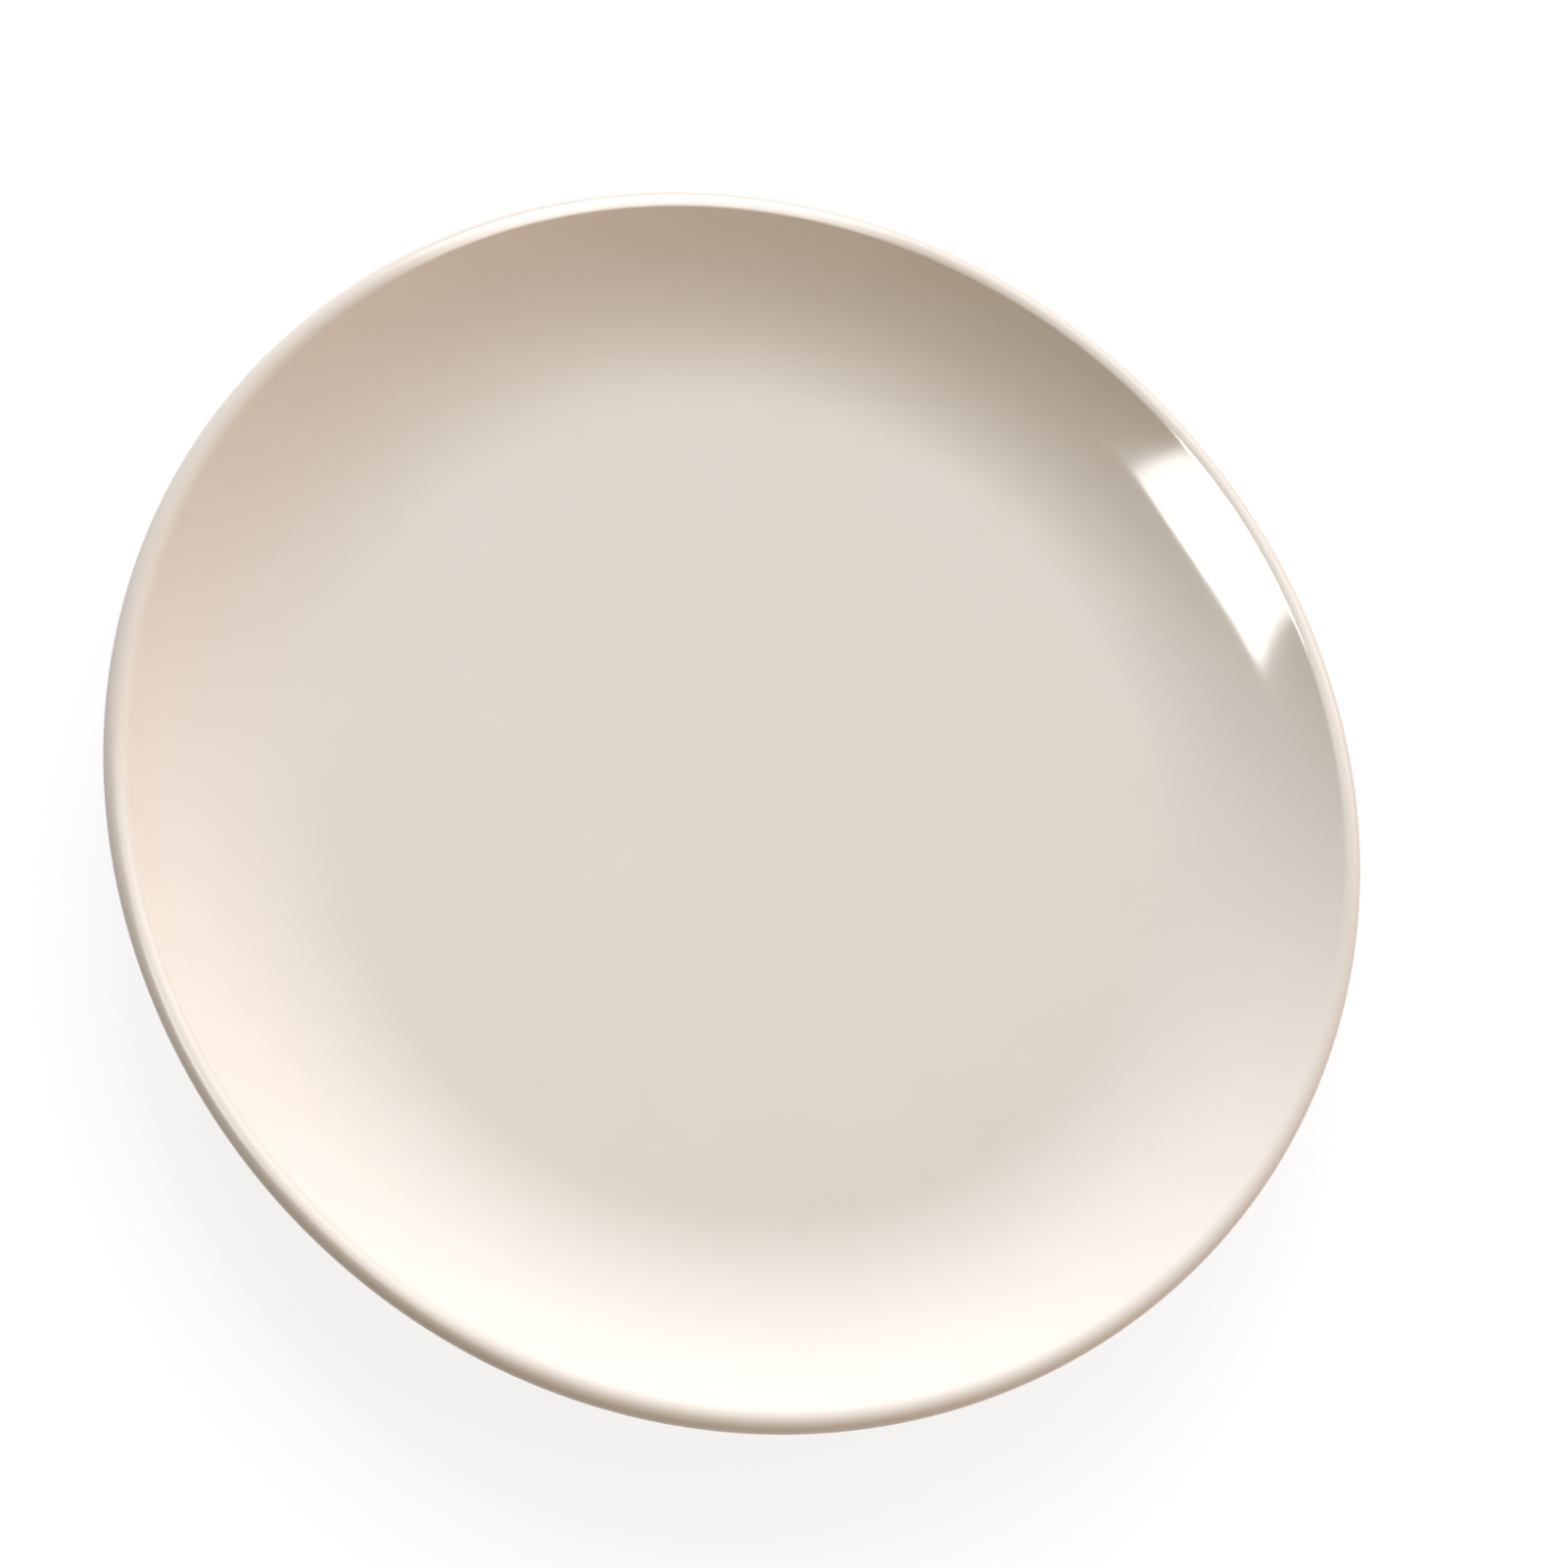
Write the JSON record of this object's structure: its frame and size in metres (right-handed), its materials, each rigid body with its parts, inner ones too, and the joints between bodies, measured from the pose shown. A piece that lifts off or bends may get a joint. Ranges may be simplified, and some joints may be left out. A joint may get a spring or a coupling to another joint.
{
  "type": "fruit plate",
  "caption": "Round rimless plate in ivory glazed stoneware, with a flat well, a softly upturned wall, a rounded lip and a bare foot ring, for serving fruit.",
  "frame": {"origin": "centre of the plate on the surface that it stands on, at the sole of the foot ring", "axes": "+Z is the plate's axis of turning and points up out of the well; X and Y lie on the table"},
  "size_m": [0.205, 0.205, 0.021],
  "materials": {
    "ivory_glaze": "glossy ivory glaze",
    "bare_clay": "matte unglazed clay"
  },
  "bodies": {
    "root": {"clay_body": "bare_clay", "glaze_coat": "ivory_glaze", "foot_recess_glaze": "ivory_glaze"}
  },
  "joints": []
}
